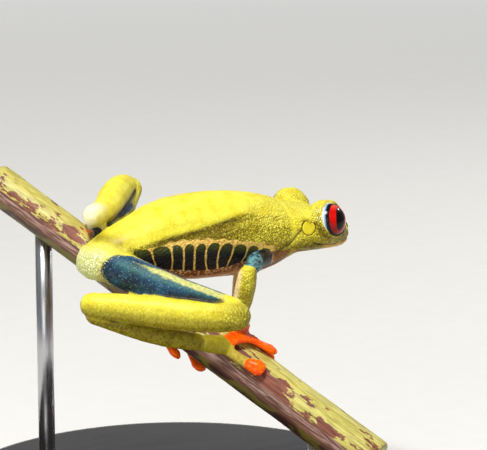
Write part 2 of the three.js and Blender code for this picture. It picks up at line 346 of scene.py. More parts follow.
# %% The floor
FLOOR_SIDE = 6.0
PALER = (0.1, 1.3)  # metres from the middle, over which the floor is seen to grow paler
floor_shape = bmesh.new()
bmesh.ops.create_grid(floor_shape, x_segments=1, y_segments=1, size=FLOOR_SIDE / 2)
floor_mesh = settled(floor_shape, "floor")
floor = put_in_scene("floor", floor_mesh)
floor_finish = Finish("pale_floor", roughness=0.8, specular=0.2)
speckle = floor_finish.noise(6.0, 4.0)
floor_finish.ground = floor_finish.mix(speckle, tint(226, 225, 221), tint(232, 231, 228))
from_middle = floor_finish.tree.nodes.new("ShaderNodeVectorMath")
from_middle.operation = "LENGTH"
floor_finish.feed(from_middle.inputs[0], floor_finish.place)
seen = floor_finish.tree.nodes.new("ShaderNodeLightPath").outputs["Is Camera Ray"]
glow = floor_finish.times(floor_finish.step(from_middle.outputs["Value"], *PALER, 0.0, 0.5), seen)
floor_finish.feed(floor_finish.surface.inputs["Emission Color"], tint(246, 246, 244))
floor_finish.feed(floor_finish.surface.inputs["Emission Strength"], glow)
floor_mesh.materials.append(floor_finish.done())
print("floor of", FLOOR_SIDE, "m")

# %% The room's light and the lamps
FROG_MIDDLE = Vector((0.005, -0.005, 0.055))


def lamp(name, place, side, watts, colour=(1.0, 1.0, 1.0)):
    """A square soft lamp that looks at the frog's middle."""
    light = bpy.data.lights.new(name, "AREA")
    light.shape = "SQUARE"
    light.size = side
    light.energy = watts
    light.color = colour
    holder = put_in_scene(name, light)
    holder.location = place
    holder.rotation_euler = (FROG_MIDDLE - Vector(place)).to_track_quat("-Z", "Y").to_euler()


lamp("key", (-0.28, -0.18, 0.8), 0.2, 7.6, (1.0, 0.985, 0.95))
lamp("fill", (-0.55, -0.6, 0.3), 0.5, 1.2, (1.0, 0.99, 0.97))
lamp("glint", (0.44, 0.12, 0.32), 0.034, 0.5)

room = bpy.data.worlds.new("pale_room")
room.use_nodes = True
walls = room.node_tree.nodes["Background"]
walls.inputs["Color"].default_value = tint(236, 238, 242)
walls.inputs["Strength"].default_value = 0.3
bpy.context.scene.world = room
print("three lamps and a pale room")

# %% The camera
LENS_MM = 180.0
CAMERA_FROM_HIPS = Vector((-186.8, -393.3, 98.3))
AIM_FROM_HIPS = Vector((28.2, -5.3, 4.0))
lens = bpy.data.cameras.new("long_lens")
lens.lens = LENS_MM
lens.sensor_width = 36.0
lens.clip_start = 0.02
lens.clip_end = 20.0
camera = put_in_scene("camera", lens)
camera.location = TO_SCENE @ CAMERA_FROM_HIPS
camera.rotation_euler = (AIM_FROM_HIPS - CAMERA_FROM_HIPS).to_track_quat("-Z", "Y").to_euler()
bpy.context.scene.camera = camera
bpy.context.scene.view_settings.view_transform = "Standard"
print(f"camera {camera.location.z * 1000:.0f} mm above the floor")

# %% [markdown]
# ## One skin from many solids
# A frog's skin runs without a seam from the lips to the toes, but the frame has a separate solid for each part of the
# body, with thin gaps between. One way is to model the skin afresh by hand and hope that it lies on the solids.
# Another, chosen here, is to cast it: copy every flesh solid, swell the copies until the gaps close, melt them into
# one with a voxel remesh, let the melted surface relax, and draw it back by as much as it was swollen. The result
# lies on the solids everywhere and has the soft joins of a real animal.

# %% Copies of the flesh solids
FLESH = [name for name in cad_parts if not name.startswith(("eye_", "perch_", "stand_"))]
SWELL = 0.18  # mm, a little over half the gap between two solids
VOXEL = 0.32
EYE_RADIUS = 3.4
FILLING_RADIUS = 3.77  # a little under the outside of the lids
WINDOW_AT = 1.5  # how far outside the eye's centre the lids open
LID_RIM = math.degrees(math.acos(WINDOW_AT / EYE_RADIUS))
HANDS = {"right": -1, "left": 1}
LOOK = {side: unit(0.32, 0.88 * hand, 0.35) for side, hand in HANDS.items()}


def solid_copy(name):
    """A solid's mesh in frog millimetres, with its loose triangles joined up."""
    copy = bmesh.new()
    copy.from_mesh(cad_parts[name].data)
    bmesh.ops.transform(copy, matrix=TO_FROG, verts=copy.verts)
    bmesh.ops.remove_doubles(copy, verts=copy.verts, dist=0.001)
    bmesh.ops.triangulate(copy, faces=copy.faces[:])
    copy.normal_update()
    return copy


def middle_of(name):
    low, high = (TO_FROG @ Vector(corner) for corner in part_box(name))
    return (low + high) / 2


EYES = {side: np.array(middle_of(f"eye_{side}")) for side in HANDS}
print("eyes at", {side: centre.round(2) for side, centre in EYES.items()})
print(f"lids open {LID_RIM:.1f} degrees from the eye's axis")

# %% A filling behind each eyeball
def eye_filling(side):
    """The flesh that the eyeball rests in: a ball cut flat where the lids open."""
    ball = bmesh.new()
    bmesh.ops.create_uvsphere(ball, u_segments=48, v_segments=32, radius=FILLING_RADIUS)
    bmesh.ops.translate(ball, verts=ball.verts, vec=Vector(EYES[side]))
    cut = bmesh.ops.bisect_plane(
        ball,
        geom=ball.verts[:] + ball.edges[:] + ball.faces[:],
        plane_co=Vector(EYES[side] + LOOK[side] * WINDOW_AT),
        plane_no=Vector(LOOK[side]),
        clear_outer=True,
    )
    rim = [part for part in cut["geom_cut"] if isinstance(part, bmesh.types.BMEdge)]
    bmesh.ops.holes_fill(ball, edges=rim, sides=0)
    bmesh.ops.triangulate(ball, faces=ball.faces[:])
    ball.normal_update()
    return ball


def pour(shape):
    """Adds one copy or filling to the cast."""
    part = bpy.data.meshes.new("part")
    shape.to_mesh(part)
    shape.free()
    cast.from_mesh(part)
    bpy.data.meshes.remove(part)


print(f"fillings of {FILLING_RADIUS} mm radius, cut flat {WINDOW_AT} mm out")

# %% Melting the copies into one
cast = bmesh.new()
solid_faces = {}
for name in FLESH:
    copy = solid_copy(name)
    solid_faces[name] = [[tuple(corner.co) for corner in face.verts] for face in copy.faces]
    for corner in copy.verts:
        corner.co += corner.normal * SWELL
    pour(copy)
for side in HANDS:
    pour(eye_filling(side))
skin = settled(cast, "skin", ("REMESH", {"mode": "VOXEL", "voxel_size": VOXEL, "adaptivity": 0.0}))
print(f"{len(FLESH)} solids melted into {len(skin.polygons)} faces")

# %% [markdown]
# Where two limbs lie close, the melting can trap bubbles of a single voxel between them. Each is a closed shell of
# its own, turned inside out, and would show as a pit. The skin is the largest closed surface, so all others go.

# %% Dropping trapped bubbles
molten = bmesh.new()
molten.from_mesh(skin)
shells = []
for first in molten.verts:
    if first.tag:
        continue
    first.tag = True
    shell = [first]
    for corner in shell:  # the list grows while it is walked, until the whole shell is in it
        for edge in corner.link_edges:
            other = edge.other_vert(corner)
            if not other.tag:
                other.tag = True
                shell.append(other)
    shells.append(shell)
shells.sort(key=len)
bubbles = [corner for shell in shells[:-1] for corner in shell]
bmesh.ops.delete(molten, geom=bubbles, context="VERTS")
bpy.data.meshes.remove(skin)
skin = settled(molten, "skin")
print(f"{len(shells) - 1} bubbles dropped, {len(bubbles)} vertices in all")

# %% [markdown]
# Most of what follows is placed by a distance: from a spot, from a line, or from an eye. A frog is much the same on
# both sides, so these distances are measured with its right side laid over its left, and each place is given once.

# %% Distances on both sides of the body
def folded_over(points):
    """The points with the right side of the body laid over the left."""
    return np.stack([points[:, 0], np.abs(points[:, 1]), points[:, 2]], axis=1)


def along_line(points, *corners):
    """Distance from a bent line to each point, the same on both sides of the body."""
    left = folded_over(points)
    nearest_yet = np.full(len(points), np.inf)
    for start, end in zip(corners, corners[1:]):
        start, end = np.array(start), np.array(end)
        run = end - start
        share = np.clip((left - start) @ run / (run @ run), 0, 1)
        nearest_yet = np.minimum(nearest_yet, span(left - start - share[:, None] * run))
    return nearest_yet


def from_spot(points, spot):
    """Distance from a spot to each point, the same on both sides of the body."""
    return span(folded_over(points) - np.array(spot))


def nearer_eye(points):
    """Each point as seen from the nearer eye's centre, and the way that eye looks."""
    right = points[:, 1:2] < 0
    centres = np.where(right, EYES["right"], EYES["left"])
    return points - centres, np.where(right, LOOK["right"], LOOK["left"])


def around_eye(points):
    """Distance from the nearer eye's centre, and the angle there from the way the eye looks."""
    away, looks = nearer_eye(points)
    far = span(away)
    return far, np.degrees(np.arccos(np.clip(np.sum(away * looks, axis=1) / far, -1, 1)))


def round_eye(points):
    """Which way round the nearer eye's axis each point lies, as an arrow of length 1."""
    away, looks = nearer_eye(points)
    across = away - np.sum(away * looks, axis=1)[:, None] * looks
    return across / (span(across)[:, None] + TINY)


print("distance helpers ready")

# %% [markdown]
# The lids, the nostrils, the lips and the eardrums have edges finer than the rest, so the melted surface is halved
# there once more. Everywhere else the coarser faces are enough, and the skin stays light.

# %% Finer faces on the face
LIPS = ((40.4, 8.9, 0.0), (43.0, 8.6, -0.8), (46.0, 7.4, -1.3), (48.5, 6.1, -1.5), (50.5, 4.6, -1.4), (52.6, 0, -1.3))
NOSTRIL = (51.7, 3.55, 1.3)
EARDRUM = (40.3, 8.84, 2.87)
EARDRUM_RADIUS = 1.42
FAR_OFF = 9.0  # stands for "nowhere near" in a field of distances
rough = numbers(skin.vertices, "co")
eye_far, eye_turn = around_eye(rough)
wanted = (eye_far < 4.6) & (abs(eye_turn - LID_RIM - 4) < 14)
wanted |= along_line(rough, *LIPS) < 0.8
wanted |= from_spot(rough, NOSTRIL) < 1.6
wanted |= abs(from_spot(rough, EARDRUM) - EARDRUM_RADIUS) < 0.6
melted = bmesh.new()
melted.from_mesh(skin)
melted.verts.ensure_lookup_table()
chosen = [edge for edge in melted.edges if wanted[edge.verts[0].index] and wanted[edge.verts[1].index]]
bmesh.ops.subdivide_edges(melted, edges=chosen, cuts=1, use_grid_fill=True)
bpy.data.meshes.remove(skin)
skin = settled(melted, "skin")
print(f"{len(chosen)} edges halved, {sum(len(face.vertices) - 2 for face in skin.polygons)} triangles in all")

# %% Which solid each bit of skin came from
owner = [number for number, name in enumerate(FLESH) for _ in solid_faces[name]]
nearest = tree_of([face for name in FLESH for face in solid_faces[name]])
solid_trees = {name: tree_of(faces) for name, faces in solid_faces.items()}
pairs = numbers(skin.edges, "vertices", 2, np.int32)
count = len(skin.vertices)
neighbours = np.bincount(pairs.ravel(), minlength=count)
points = numbers(skin.vertices, "co")
label = np.array([owner[nearest.find_nearest(Vector(point))[2]] for point in points])


def neighbour_mean(values):
    """The mean of each vertex's neighbours, for one number per vertex."""
    total = np.bincount(pairs[:, 0], values[pairs[:, 1]], count)
    total += np.bincount(pairs[:, 1], values[pairs[:, 0]], count)
    return total / neighbours


def belongs(*starts, blur=6):
    """A soft mask, 1 on the skin of the named solids, that fades over about a millimetre."""
    chosen = [number for number, name in enumerate(FLESH) if name.startswith(starts)]
    mask = np.isin(label, chosen).astype(float)
    for _ in range(blur):
        mask = 0.5 * mask + 0.5 * neighbour_mean(mask)
    return mask


print("labels for", count, "vertices")

# %% [markdown]
# A voxel surface has small steps. Plain smoothing removes them but shrinks thin toes to threads. Taubin's way is to
# pull each vertex towards its neighbours and then push it back a little further, which takes out the steps and keeps
# the size. The digits are moved only about an eighth as far as the trunk, since their discs are a few voxels across.

# %% Relaxing the cast
PULL_THEN_PUSH = (0.5, -0.53)  # shares of the way to the neighbours' mean


def relax(points, rounds, freedom):
    """Taubin's smoothing, at each vertex as strong as its freedom."""
    for _ in range(rounds):
        for pull in PULL_THEN_PUSH:
            mean = np.stack([neighbour_mean(points[:, axis]) for axis in range(3)], axis=1)
            points += pull * freedom[:, None] * (mean - points)
    return points


DIGIT_HOLD = 0.88  # the share of the movement that digits are spared
points = relax(points, 4, np.ones(count))
points = relax(points, 70, 1 - DIGIT_HOLD * belongs("toe_", "finger_"))
put_back(skin, points)
points -= SWELL * numbers(skin.vertex_normals, "vector")
put_back(skin, points)
print("relaxed and drawn back by", SWELL, "mm")

# %% [markdown]
# ## Sculpting with fields
# A sculptor works folds in with a tool. Here each fold is a smooth bump or hollow that depends on where the skin is:
# a distance to a line or a ring, turned into a bell and added along the skin's normal. The head gets the most of
# them, because the lids, the nostrils, the eardrums and the set of the mouth are what make it a tree frog.

# %% The sockets and lids
NECK = (36.0, 39.0)  # x from where the head begins to where it is all head
SOCKET = 3.0  # the skin dips under the eyeball
LID = 3.6  # the lid's margin stands just proud of it
LID_FOLD = ((41.7, 9.3, 3.6), (42.6, 9.7, 1.8), (44.4, 9.4, 0.5), (46.6, 8.8, 0.5), (48.4, 7.4, 1.0))
head = ease(points[:, 0], *NECK)
eye_far, eye_turn = around_eye(points)
near_eye = ease(eye_far, 5.4, 4.6) * head
brow = 0.42 * ease(round_eye(points)[:, 2], 0.3, 0.9) * ease(eye_turn, LID_RIM + 0.5, LID_RIM + 8)
lid_shape = LID + brow + (eye_far - LID - brow) * ease(eye_turn, LID_RIM + 10, LID_RIM + 32)
lid_shape = SOCKET + (lid_shape - SOCKET) * ease(eye_turn, LID_RIM - 2.5, LID_RIM + 2.5)
lid_shape = np.where(eye_turn < LID_RIM + 34, lid_shape, eye_far)
points += (near_eye * (lid_shape / eye_far - 1))[:, None] * nearer_eye(points)[0]
put_back(skin, points)
x, y, z = points.T
side_y = np.abs(y)
normal = numbers(skin.vertex_normals, "vector")
push = np.zeros(count)
eye_far, eye_turn = around_eye(points)
push -= 0.10 * ridge(eye_turn - LID_RIM - 28, 7.0) * near_eye
lid_fold = along_line(points, *LID_FOLD)
push -= 0.22 * ridge(lid_fold, 0.4) * head * ease(eye_far, 3.75, 4.3)
print("lids shaped round both eyes")

# %% Mouth, nostrils and eardrums
MOUTH_CORNER = 40.6  # x where the gape ends, behind the eye
NOSE_GROOVE = ((51.2, 4.6, 0.3), (52.2, 2.6, 0.2))
DRUM_AXIS = unit(-0.1, 1.45, 0.3)
DRUM_DEPTH = 1.5  # how far in or out the eardrum's ring is drawn
mouth_height = z + 1.30 + 0.12 * (x - 46) - 0.0204 * (x - 46) ** 2
mouth_reach = ease(x, MOUTH_CORNER - 0.4, MOUTH_CORNER + 1.2)
lips = ridge(mouth_height - 0.6, 0.35) + ridge(mouth_height + 0.5, 0.3)
push += (0.07 * lips - 0.34 * ridge(mouth_height, 0.2)) * mouth_reach * head
nostril_far = from_spot(points, NOSTRIL)
push += (0.38 * ridge(nostril_far, 0.8) - 0.85 * ridge(nostril_far, 0.3)) * head
push -= 0.22 * ridge(along_line(points, *NOSE_GROOVE), 0.5) * head
from_drum = folded_over(points) - np.array(EARDRUM)
out_of_drum = from_drum @ DRUM_AXIS
ear_far = span(from_drum - np.outer(out_of_drum, DRUM_AXIS))
ear_far = np.where(np.abs(out_of_drum) < DRUM_DEPTH, ear_far, FAR_OFF)
push += (-0.2 * ridge(ear_far - EARDRUM_RADIUS, 0.17) + 0.06 * ridge(ear_far - EARDRUM_RADIUS - 0.5, 0.3)) * head
push -= 0.05 * ease(ear_far, EARDRUM_RADIUS, EARDRUM_RADIUS - 0.4) * head
print("mouth, nostril and ear fields ready")

# %% Folds and hollows of the trunk
EAR_FOLD = (
    (38.7, 8.6, 2.4),
    (38.0, 8.5, 1.7),
    (37.3, 8.5, 0.9),
    (36.3, 8.2, -0.2),
    (34.9, 8.1, -0.9),
    (33.7, 7.6, -1.9),
)
SHOULDER_DIP = ((28.0, 8.0, 4.4), (29.5, 8.3, 3.0))
trunk = belongs("trunk", "head", "lower_jaw")
ridge_z = 3.35 + 0.2 * (x - 10.2)  # the fold that runs from hip to shoulder
on_ridge = ease(x, 8.0, 12.0) * ease(x, 29.0, 25.0) * trunk * ease(side_y, 4.0, 5.5)
push += (0.12 * ridge(z - ridge_z - 0.2, 0.6) - 0.5 * ridge(z - ridge_z + 1.2, 1.1)) * on_ridge
ear_fold = along_line(points, *EAR_FOLD)
push -= 0.34 * ridge(ear_fold, 0.3) * trunk
push -= 0.3 * ridge(along_line(points, *SHOULDER_DIP), 1.5) * trunk
print("trunk folds ready")

# %% [markdown]
# Where a folded limb lies on its neighbour there is a deep crease, and the melting has filled it. The creases are
# found by asking, for skin that came from one solid, how near the other solid is. Close to the joint the two really
# are one, so the crease fades out there.

# %% Creases between folded limbs
APART = (40.0, 0.0, 0.0)  # a spot far from both, for neighbours that are one nowhere
CREASES = [  # two neighbours, the joint where they are one, and how far the join reaches
    ("thigh_left", "shank_left", (20.0, 25.8, 6.8), 3.0),
    ("thigh_right", "shank_right", (18.0, -24.0, -7.6), 3.0),
    ("shank_right", "tarsus_right", (-4.8, -7.6, -7.8), 3.0),
    ("shank_left", "tarsus_left", (1.0, 3.6, 6.2), 2.4),
    ("thigh_left", "tarsus_left", APART, 1.0),
    ("trunk", "tarsus_left", APART, 1.0),
    ("shank_left", "trunk", APART, 1.0),
    ("thigh_right", "trunk", (0.5, -2.0, 0.0), 6.5),
    ("thigh_left", "trunk", (3.0, 0.0, 0.0), 4.5),
    ("upper_arm_right", "trunk", (31.5, -6.0, -2.0), 2.8),
    ("upper_arm_left", "trunk", (32.0, 6.0, -2.0), 2.8),
    ("tarsus_right", "sole_right", (16.0, -11.0, -15.6), 9.0),
]
CREASE_SEARCH = 2.0  # how far off a neighbour is looked for
crease = np.zeros(count)
for first, second, joint, join_reach in CREASES:
    apart = ease(span(points - np.array(joint)), join_reach, join_reach + 2.0)
    for here, there in ((first, second), (second, first)):
        mine = np.flatnonzero((label == FLESH.index(here)) & (apart > 0))
        found = (solid_trees[there].find_nearest(Vector(points[i]), CREASE_SEARCH)[3] for i in mine)
        gap = np.array([CREASE_SEARCH if far is None else far for far in found])
        crease[mine] = np.maximum(crease[mine], ridge(gap, 0.6) * apart[mine])
push -= 0.5 * crease
print(len(CREASES), "creases, on", int((crease > 0.3).sum()), "vertices")

# %% [markdown]
# Where two limbs only just touch, the web of skin between them is thin, and a deep crease from both sides would turn
# it inside out. So each fold is held to a third of the thickness that is there, and the creases are rubbed smooth.

# %% Shaping the skin
for _ in range(2):
    push = 0.7 * push + 0.3 * neighbour_mean(push)
DEEPEST_SHARE = 0.33  # of the thickness that is there
whole = BVHTree.FromPolygons([tuple(point) for point in points], [tuple(face.vertices) for face in skin.polygons])
thin = 0
for i in np.flatnonzero(push < -0.04):
    inward = Vector(-normal[i])
    thickness = whole.ray_cast(Vector(points[i]) + 0.02 * inward, inward, 3.0)[3]
    if thickness is not None and push[i] < -DEEPEST_SHARE * thickness:
        push[i] = -DEEPEST_SHARE * thickness
        thin += 1
points += push[:, None] * normal
for _ in range(2):
    crease = np.maximum(crease, neighbour_mean(crease))
points = relax(points, 8, np.clip(1.5 * crease, 0, 1))
print(thin, "vertices held back where the skin is thin")
box_low, box_high = (np.array(TO_FROG @ Vector(corner)) for corner in solids_box)
points = np.clip(points, box_low + BOX_MARGIN, box_high - BOX_MARGIN)
put_back(skin, points)
normal = numbers(skin.vertex_normals, "vector")
x, y, z = points.T
print(f"deepest fold {push.min():.2f} mm, highest ridge {push.max():.2f} mm")

# %% [markdown]
# ## Where the markings lie
# The frog's markings could be painted by hand on a picture wrapped round the mesh, but a picture has a fixed
# fineness. Instead every vertex stores smooth fields in millimetres, such as how far it lies inside the cream border
# of the flank. The finish turns each field into a crisp edge later, so the edges stay sharp at any distance.

# %% The barred flank
BARS = [  # where each cream bar stands at the top, half way down and at the foot of the dark panels
    (8.4, 9.1, 10.2),
    (12.2, 12.5, 12.8),
    (14.5, 14.7, 15.1),
    (16.8, 16.75, 17.2),
    (19.1, 18.9, 19.6),
    (22.0, 21.35, 21.8),
    (24.7, 24.1, 23.7),
    (27.6, 27.2, 26.3),
    (30.9, 29.8, 28.4),
]
GAP_BEHIND = 9.0  # how far off a next bar would stand behind the first one
GAP_AHEAD = 3.0  # and ahead of the last one
FLANK_END = 33.2
down = (1.6 - z) / 4.6  # 0 at the top of the panels and 1 at their foot
bar_x = [
    top * (1 - down) * (1 - 2 * down) + 4 * middle * down * (1 - down) + foot * down * (2 * down - 1)
    for top, middle, foot in BARS
]
bar_count = np.zeros(count)
bar_gap = np.full(count, GAP_AHEAD)
for left, right in zip(bar_x, bar_x[1:]):
    between = (x > left) & (x <= right)
    bar_gap = np.where(between, right - left, bar_gap)
    bar_count += np.clip((x - left) / (right - left), 0, 1)
bar_count += np.minimum(x - bar_x[0], 0) / GAP_BEHIND + np.maximum(x - bar_x[-1], 0) / GAP_AHEAD
bar_gap = np.where(x < bar_x[0], GAP_BEHIND, bar_gap)
to_bar = np.abs(bar_count - np.round(bar_count)) * bar_gap
panel_top = 2.12 - np.where(x < 16.5, 0.0042, 0.0105) * (x - 16.5) ** 2
border_top = 2.72 - 0.0100 * (x - 16.3) ** 2 + 0.3 * ridge(to_bar, 0.7)
border_top = panel_top + (border_top - panel_top) * ease(x, 9.0, 12.5)
panel_foot = np.minimum(-3.5 + np.where(x < 20.5, 0.012, 0.025) * (x - 20.5) ** 2, -1.2)
body = belongs("trunk", blur=4)
flank_skin = belongs("trunk", "upper_arm_", blur=4)
flank = least(least(border_top - z, FLANK_END - x, 0.4), side_y - 2.0, 0.5)
flank = np.minimum(flank, 1.5) - 5 * (1 - flank_skin)
keep_fields(
    skin,
    flank=flank,
    bar_count=bar_count,
    bar_gap=bar_gap,
    panel_top=panel_top - z,
    panel_foot=z - panel_foot,
    belly=panel_foot + 0.12 - z,
    body=flank_skin,
    breast=ease(x, 32.2, 33.8),
)
print(len(BARS), "cream bars on each flank")

# %% [markdown]
# The thigh's blue and its pale stripe run along the limb, so they are easier to place from the hip than from the
# ground. For every vertex the next step works out how far along the limb it lies and how far round the limb. A
# stripe is then a band of angles, and the edge of the blue is a curve across them.

# %% Limb coordinates
def down_limb(start, end, hand):
    """How far along a limb each vertex lies, and how far round from its top towards the outside."""
    start = np.array(start)
    run = np.array(end) - start
    way = run / np.linalg.norm(run)
    upward = np.array([0, 0, 1.0]) - way * way[2]
    upward /= np.linalg.norm(upward)
    outward = np.cross(way, upward) * -hand
    off = points - start
    return off @ way, np.degrees(np.arctan2(off @ outward, off @ upward))


def divide(mask, here, there):
    """Redraws a mask's edge along the fold between two limbs, where the two solids are equally near."""
    both = np.flatnonzero(np.isin(label, [FLESH.index(here), FLESH.index(there)]))
    near, far = (
        np.array([solid_trees[name].find_nearest(Vector(points[i]))[3] for i in both]) for name in (here, there)
    )
    mask[both] = ease(far - near, -1.0, -0.1)
    return len(both)


print("limb helpers ready")

# %% Blue thighs
THIGHS = {  # hip and knee
    "right": ((-1.6, -2.5, -0.1), (17.1, -22.5, -7.1)),
    "left": ((4.2, 3.0, 0.2), (19.8, 25.3, 6.5)),
}
thighs = belongs("thigh_", blur=4)
for side in HANDS:
    print("fold redrawn on", divide(thighs, f"thigh_{side}", f"shank_{side}"), "vertices")
for _ in range(5):
    thighs = 0.5 * thighs + 0.5 * neighbour_mean(thighs)
left_side = belongs("thigh_left") > belongs("thigh_right")
lengths = {side: down_limb(hip, knee, HANDS[side]) for side, (hip, knee) in THIGHS.items()}
along = np.where(left_side, lengths["left"][0] + 2.0, lengths["right"][0])
turn = np.where(left_side, lengths["left"][1], lengths["right"][1])
blue_rear = 2.9 + 0.0007 * (turn - 82) ** 2
blue_under = 140 + 3.0 * (along - 3)
blue = least(along - blue_rear, (blue_under - np.abs(turn)) * 0.05, 0.5)
blue = np.minimum(least(blue, (25.5 - along) * 0.6, 0.5), 1.0) - 4 * (1 - thighs)
blue -= np.where(left_side, 1.6 * ease(along, 15.0, 25.0), 0)
stripe_top = np.maximum(3.0, 26 - 1.7 * along)
stripe = least(turn - stripe_top, 46 - turn, 6.0) * 0.06
stripe = np.minimum(stripe, 1.0) - 2 * (1 - thighs) - 1.3 * ease(along, 15.0, 5.0)
teal = ridge(turn - 52, 16) * thighs * ease(along, 4, 7)
lit_edge = ridge(turn - stripe_top + 9, 3.5) * thighs * ease(along, 5, 9)
rump = thighs * ease(along, 4.5, 1.5) * ease(z, 3.2, 1.6)
rump = np.maximum(rump, body * ease(x, 3.0, -0.5) * ease(z, 2.6, 0.6))
print("thigh fields ready")

# %% Hands, feet and arms
OUTER_DISC = ((24.9, 15.7, -20.4), (25.6, 15.6, -20.0))
ARMPIT = ((31.0, 7.2, -2.6), (32.4, 6.9, -3.6))
HEEL = (1.2, 3.6, 6.4)
GROOVE = ((1.0, 3.4, 2.6), (2.6, 4.6, 3.2), (4.0, 5.2, 3.9), (6.2, 7.6, 4.0), (9.0, 10.5, 3.8))
outer_toe = belongs("toe_right_5") * ease(along_line(points, *OUTER_DISC), 1.8, 2.6)
orange = belongs("toe_", "finger_", "palm_", blur=3) * (1 - ease(outer_toe, 0.2, 0.6))
sole_end = belongs("sole_right") * ease(x, 20.5, 22.0)
orange = np.maximum(orange, sole_end * ease(y, -12.0, -10.4))
orange = np.maximum(orange, belongs("sole_left"))
orange = np.maximum(orange, belongs("tarsus_left") * ease(z, 4.0, 3.0))
foot = belongs("sole_")
tarsus = belongs("tarsus_")
shank = belongs("shank_")
forearm = belongs("forearm_", blur=3)
upper_arm = belongs("upper_arm_", blur=3)
armpit = ridge(along_line(points, *ARMPIT), 2.0) * body
# The left heel is pale cream, partly its own skin and partly painted light: palest where it faces up and back,
# towards the key lamp.
heel = ease(span(points - np.array(HEEL)), 4.9, 2.0) * belongs("shank_left", "tarsus_left")
heel *= 0.25 + 0.75 * ease(normal @ unit(0.6, -0.45, -0.65), 0.75, -0.35)
# Painted shade: a dark blue-black band in the gap between the left heel and the back, with olive shade beside it.
groove_far = along_line(points, *GROOVE)
groove = ridge(groove_far, 1.5) * ease(y, 0.6, 1.8)
pale_edge = forearm * ease(normal @ unit(-0.875, 0.485, 0.0), 0.35, 0.8) * ease(z, -2.4, -3.6)
shoulder = upper_arm * ease(x, 28.9, 30.3)
print("orange on", int((orange > 0.5).sum()), "vertices")

# %% [markdown]
# Olive is the skin's own colour on the feet, and in part under the fold of the flank. Much of the rest is painted
# shade:
# under that fold, under the lids, in the hip fold, beside the dark gap at the left heel, on the forward side of the
# forearm and wherever the skin faces down. Some lies round the mouth and the knee too. Each place is a soft patch
# with a strength of its own, and where two patches meet, the stronger one shows. The grains are placed in the same
# way.

# %% Olive and painted shade
KNEE = (17.6, -24.4, -8.0)
RUMP = (3.5, -3.0, 2.8)
SHOULDER_TOP = ((30.5, 8.3, 1.2), (34.5, 8.3, 0.6))
HIP_FOLD = ((0.8, 0.2, 3.4), (3.0, 3.6, 2.6))
JAW = ((35.0, 8.2, -2.4), (38.0, 8.6, -0.9), (41.0, 8.8, -1.2), (44.0, 8.2, -2.0))
knee = ridge(span(points - np.array(KNEE)), 5.0) * shank
olive_patches = [
    0.9 * ease(ridge_z - z, -0.25, 0.7) * ease(x, 5, 12) * ease(x, 33, 21) * body * ease(side_y, 3.0, 5.0),
    0.3 * ridge(along_line(points, *SHOULDER_TOP), 1.6) * body,
    0.8 * tarsus,
    0.75 * foot,
    0.6 * outer_toe,
    0.55 * forearm * ease(normal[:, 0], -0.2, 0.6),
    0.55 * head * ease(z, 1.8, -0.2) * ease(side_y, 3.0, 5.0),
    0.75 * ridge(lid_fold, 0.8) * head,
    0.75 * ease(x, 46.5, 49.0) * ease(z, 3.2, 2.0) * head,
    0.7 * ridge(along_line(points, *HIP_FOLD), 1.5) * trunk,
    0.3 * (ridge(span(points - np.array(RUMP)), 3.0) * (body + thighs)),
    0.55 * ridge(groove_far, 2.6) * body * (y > 0),
    0.8 * ridge(along_line(points, *JAW), 1.5) * trunk,
    # Painted shade: olive where the skin faces down, and on the right shank's underside.
    0.75 * ease(normal[:, 2], 0.3, -0.7) * (1 - head),
    0.55 * shank * (y < 0) * ease(normal[:, 2], 0.5, -0.3),
    0.5 * knee,
    0.7 * belongs("thigh_left") * ease(along, 26.0, 17.0),
]
olive = np.maximum.reduce(olive_patches)
print(len(olive_patches), "olive patches")

# %% Where the grains stand out
grainy_patches = [
    0.25 * body,
    body * ease(x, 22, 32) * ease(z, 9.5, 7.0),
    body * ease(ridge_z - z, -0.2, 0.6),
    0.9 * head,
    0.9 * knee,
    0.8 * rump,
    0.4 * thighs,
    0.7 * forearm,
    0.3 * belongs("shank_right"),
    0.4 * tarsus,
]
grainy = np.maximum.reduce(grainy_patches)
grainy *= 1 - 0.8 * ease(ear_far, EARDRUM_RADIUS + 0.1, EARDRUM_RADIUS - 0.3)
print(len(grainy_patches), "grainy patches")

# %% Keeping the fields
PEARLY_LID = ((42.4, 7.9, 6.2), (42.7, 9.3, 4.9))
LEFT_SHANK = ((1.6, 3.9, 6.6), (18.4, 24.8, 6.9))
pearly = ridge(along_line(points, *PEARLY_LID), 1.3) * head
keep_fields(
    skin,
    blue=blue,
    stripe=stripe,
    teal=teal,
    lit_edge=lit_edge,
    rump=rump,
    rump_side=thighs * ease(along, 7.5, 5.0),
    olive=olive,
    grainy=grainy,
    # Painted shade: the grains' dark speckles and gaps fade where the skin faces up, towards the light.
    uneven=grainy * (1 - 0.65 * ease(normal[:, 2], 0.2, 0.8)),
    orange=orange,
    outer_toe=outer_toe,
    upper_arm=upper_arm,
    armpit=np.maximum(armpit, shoulder),
    chest_edge=upper_arm * ease(x, 32.4, 33.2),
    heel=heel,
    groove=groove,
    pearly=pearly,
    pale_edge=pale_edge,
    shank=shank * (1 - heel),
    along=np.where(belongs("shank_left") > 0.5, down_limb(*LEFT_SHANK, 1)[0], x),
    crease=crease,
    mouth_height=np.where(head > 0, mouth_height, FAR_OFF),
    mouth_reach=mouth_reach * head,
    lip=ease(x, 43.0, 45.5) * head,
    throat=ease(mouth_height + 1.1 * ease(x, 46.5, 44.0), -0.75, -1.1) * head * ease(x, 37, 39),
    nostril=nostril_far,
    ear=ear_far,
    ear_fold=ear_fold,
    lid_fold=lid_fold,
    lid=(eye_turn - LID_RIM) + 40 * (1 - near_eye),
    rear_lid=round_eye(points) @ unit(-0.85, 0.0, 0.55),
)
print("marking fields kept on the skin")
